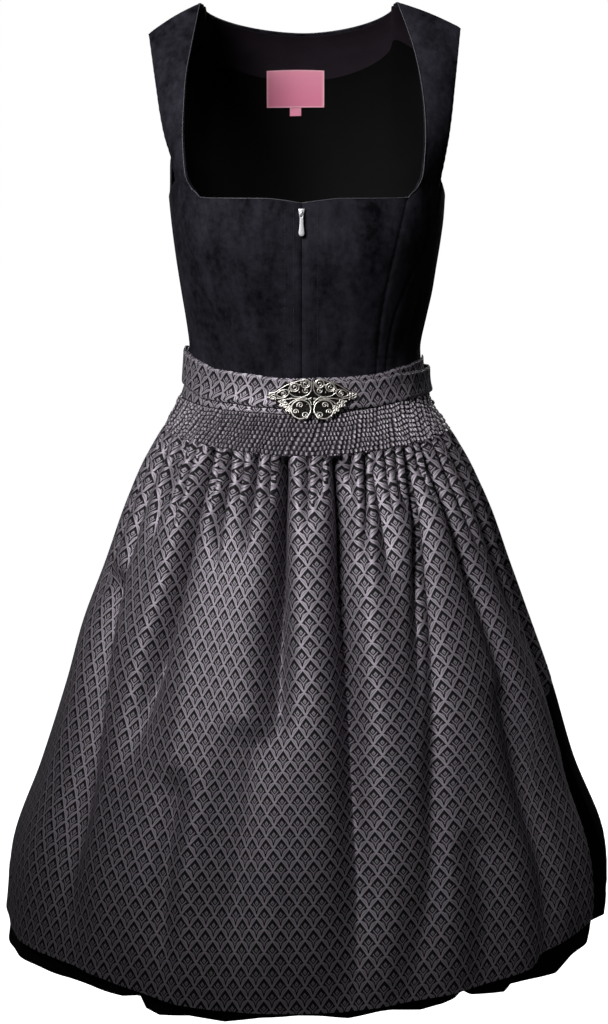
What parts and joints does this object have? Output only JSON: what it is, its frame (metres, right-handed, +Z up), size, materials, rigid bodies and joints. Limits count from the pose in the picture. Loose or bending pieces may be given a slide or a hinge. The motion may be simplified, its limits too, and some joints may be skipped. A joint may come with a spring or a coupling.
{
  "type": "dirndl dress with smocked apron",
  "caption": "Dark velvet dirndl: square-necked zipped bodice, gathered skirt and smocked jacquard apron, with a belt closed by a filigree clasp.",
  "frame": {"origin": "midway between the two shoulder straps, at the height where they rest on the shoulders", "axes": "+Z up, the garment's front faces -Y, the wearer's left side is +X"},
  "size_m": [0.6356, 0.5417, 0.9992],
  "materials": {
    "black_velvet": "soft short-napped velveteen, blue-black",
    "black_lining": "smooth plain lining",
    "black_skirt_cloth": "plain matte",
    "grey_jacquard": "satin jacquard with a diamond trellis, mauve-grey on near-black",
    "old_silver": "antiqued silver colour",
    "zip_metal": "satin nickel colour",
    "pink_label": "woven, bare"
  },
  "bodies": {
    "dress": {"bodice_front_left": "black_velvet", "bodice_front_right": "black_velvet", "bodice_strap_front_left": "black_velvet", "bodice_strap_front_right": "black_velvet", "bodice_side_left": "black_velvet", "bodice_side_right": "black_velvet", "bodice_side_back_left": "black_velvet", "bodice_side_back_right": "black_velvet", "bodice_back": "black_velvet", "back_lining": "black_lining", "neck_label": "pink_label", "size_tab": "pink_label", "zip_tape": "black_skirt_cloth", "zip_slider": "zip_metal", "skirt_front": "black_skirt_cloth", "skirt_back_left": "black_skirt_cloth", "skirt_back_right": "black_skirt_cloth", "apron_panel": "grey_jacquard", "apron_yoke": "grey_jacquard", "apron_waistband": "grey_jacquard", "apron_belt": "grey_jacquard", "clasp_left": "old_silver", "clasp_right": "old_silver"},
    "pull": {"zip_pull": "zip_metal"}
  },
  "joints": [
    {"name": "zip_pull_swing", "type": "hinge", "parent": "dress", "child": "pull", "pos_m": [-0.0025, -0.1277, -0.201], "axis": [-1, 0, 0], "range_deg": [0, 165]}
  ]
}
